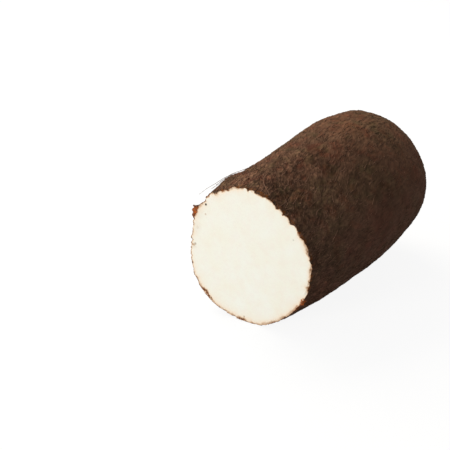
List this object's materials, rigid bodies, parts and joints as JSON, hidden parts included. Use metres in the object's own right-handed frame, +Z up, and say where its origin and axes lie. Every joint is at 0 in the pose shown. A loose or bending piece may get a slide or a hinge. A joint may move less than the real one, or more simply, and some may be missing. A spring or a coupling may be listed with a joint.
{
  "type": "yam",
  "caption": "Length of yam tuber lying on its side, cut square across at one end to show white flesh and rounded off under rough brown bark at the other.",
  "frame": {"origin": "middle of the tuber's bounding box at the height of its underside, where it rests", "axes": "+X along the tuber from the cut face to the rounded tip, +Z up, so the cut face looks along -X and the tuber bows towards -Y"},
  "size_m": [0.2196, 0.1368, 0.1367],
  "materials": {
    "yam_bark": "matt, dry, fibrous dark brown bark over the whole tuber; the cut shows moist off-white flesh inside a thin orange-brown rim"
  },
  "bodies": {
    "root": {"yam": "yam_bark"}
  },
  "joints": []
}
